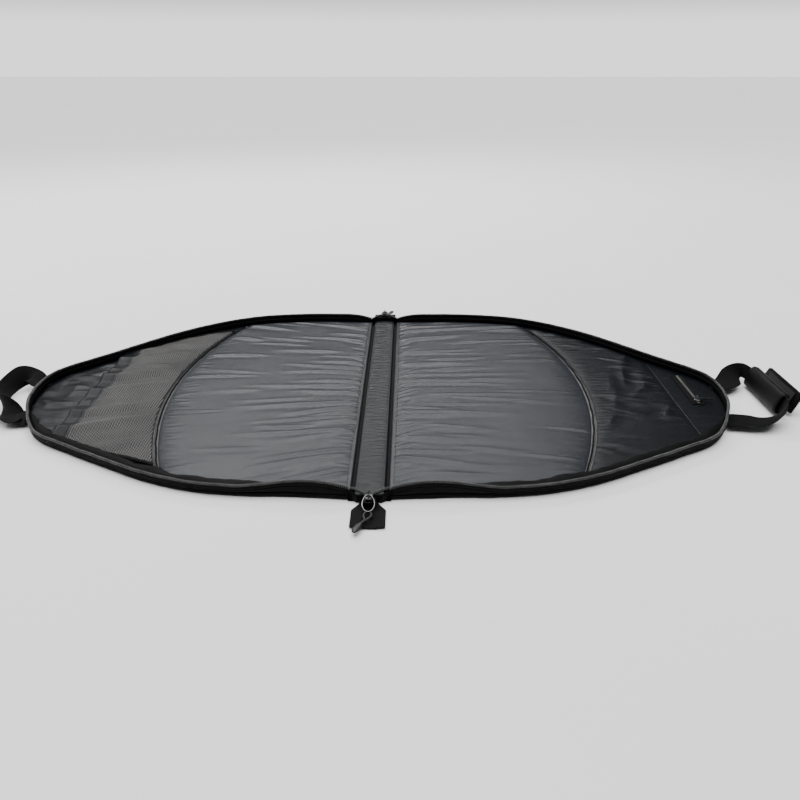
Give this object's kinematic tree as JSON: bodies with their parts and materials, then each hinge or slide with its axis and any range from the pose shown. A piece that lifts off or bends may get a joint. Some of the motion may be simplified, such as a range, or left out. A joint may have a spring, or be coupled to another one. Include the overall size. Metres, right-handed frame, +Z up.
{
  "type": "zip-around padded gear bag",
  "caption": "Flat padded bag, open in two hinged tapered halves, with a zip round the rim, a mesh pocket, a zipped pocket, a webbing loop and a wrap-around grip.",
  "frame": {"origin": "on the floor under the middle of the spine strip, with the bag lying open", "axes": "+X from the left half to the right half, the long way; +Y along the spine, away from the cord-pull tab at the front; +Z up, out of the open bag"},
  "size_m": [1.1381, 0.7337, 0.0368],
  "materials": {
    "outer_cloth": "coated plain-weave nylon, matt",
    "foam": "closed-cell foam",
    "pad_lining": "satin nylon, wrinkled",
    "end_lining": "shiny dark nylon, crumpled",
    "mesh_cloth": "open knitted mesh",
    "binding_tape": "woven tape, stitched",
    "webbing": "woven webbing",
    "zip_coil": "nylon coil",
    "zip_metal": "gunmetal plating",
    "grip_cloth": "laminated neoprene, soft sheen",
    "moulded_pull": "satin moulded"
  },
  "bodies": {
    "spine": {"spine_outer": "outer_cloth", "spine_foam": "foam", "spine_lining": "pad_lining", "spine_wall_front": "outer_cloth", "spine_wall_back": "outer_cloth", "zip_end_patch_front": "binding_tape", "zip_end_patch_back": "binding_tape", "end_tab_front": "webbing", "end_tab_back": "webbing", "slider_front": "zip_metal", "slider_back": "zip_metal"},
    "left_half": {"shell_left": "outer_cloth", "foam_left": "foam", "edge_binding_left": "binding_tape", "side_wall_left": "outer_cloth", "zip_tape_left": "binding_tape", "zip_coil_left": "zip_coil", "centre_pad_left": "pad_lining", "arc_piping_left": "binding_tape", "pocket_lining_left": "end_lining", "mesh_pocket_left": "mesh_cloth", "mesh_hem_left": "binding_tape", "end_panel_left": "end_lining", "handle_root_left_front": "webbing", "handle_root_left_rear": "webbing"},
    "right_half": {"shell_right": "outer_cloth", "foam_right": "foam", "edge_binding_right": "binding_tape", "side_wall_right": "outer_cloth", "zip_tape_right": "binding_tape", "zip_coil_right": "zip_coil", "centre_pad_right": "pad_lining", "arc_piping_right": "binding_tape", "pocket_panel_right": "end_lining", "end_panel_right": "end_lining", "handle_root_right_front": "webbing", "handle_root_right_rear": "webbing", "pocket_zip_tape": "binding_tape", "pocket_zip_coil": "zip_coil"},
    "front_pull": {"pull_ring_front": "zip_metal", "pull_cord_front": "moulded_pull", "pull_end_front": "moulded_pull"},
    "back_pull": {"pull_ring_back": "zip_metal", "pull_cord_back": "moulded_pull", "pull_end_back": "moulded_pull"},
    "left_handle": {"handle_web_left": "webbing"},
    "right_handle": {"handle_web_right": "webbing", "grip_sleeve": "grip_cloth", "grip_loop_strip": "binding_tape"},
    "grip_outer_flap": {"grip_flap": "grip_cloth", "grip_hook_strip": "binding_tape"},
    "pocket_runner": {"pocket_slider": "zip_metal"},
    "pocket_tab": {"pocket_pull": "zip_metal"}
  },
  "joints": [
    {"name": "left_fold", "type": "hinge", "parent": "spine", "child": "left_half", "pos_m": [-0.02, 0, 0.005], "axis": [0, 1, 0], "range_deg": [0, 90]},
    {"name": "right_fold", "type": "hinge", "parent": "spine", "child": "right_half", "pos_m": [0.02, 0, 0.005], "axis": [0, -1, 0], "range_deg": [0, 90]},
    {"name": "left_handle_swing", "type": "hinge", "parent": "left_half", "child": "left_handle", "pos_m": [-0.48803, -0.10532, 0.01], "axis": [0.1556, -0.9878, 0], "range_deg": [-45, 60]},
    {"name": "right_handle_swing", "type": "hinge", "parent": "right_half", "child": "right_handle", "pos_m": [0.48803, -0.10532, 0.01], "axis": [0.1556, 0.9878, 0], "range_deg": [-80, 60]},
    {"name": "grip_flap_lift", "type": "hinge", "parent": "right_handle", "child": "grip_outer_flap", "pos_m": [0.5765, 0, 0.0034], "axis": [0, 1, 0], "range_deg": [-5, 60]},
    {"name": "front_pull_lift", "type": "hinge", "parent": "spine", "child": "front_pull", "pos_m": [0, -0.308, 0.0171], "axis": [1, 0, 0], "range_deg": [-150, 0]},
    {"name": "back_pull_lift", "type": "hinge", "parent": "spine", "child": "back_pull", "pos_m": [0, 0.3123, 0.0227], "axis": [-1, 0, 0], "range_deg": [-150, 0]},
    {"name": "pocket_zip_travel", "type": "slide", "parent": "right_half", "child": "pocket_runner", "axis": [0, 1, 0], "range_m": [0, 0.079]},
    {"name": "pocket_pull_lift", "type": "hinge", "parent": "pocket_runner", "child": "pocket_tab", "pos_m": [0.458, -0.0445, 0.0141], "axis": [0, -1, 0], "range_deg": [0, 160]}
  ]
}
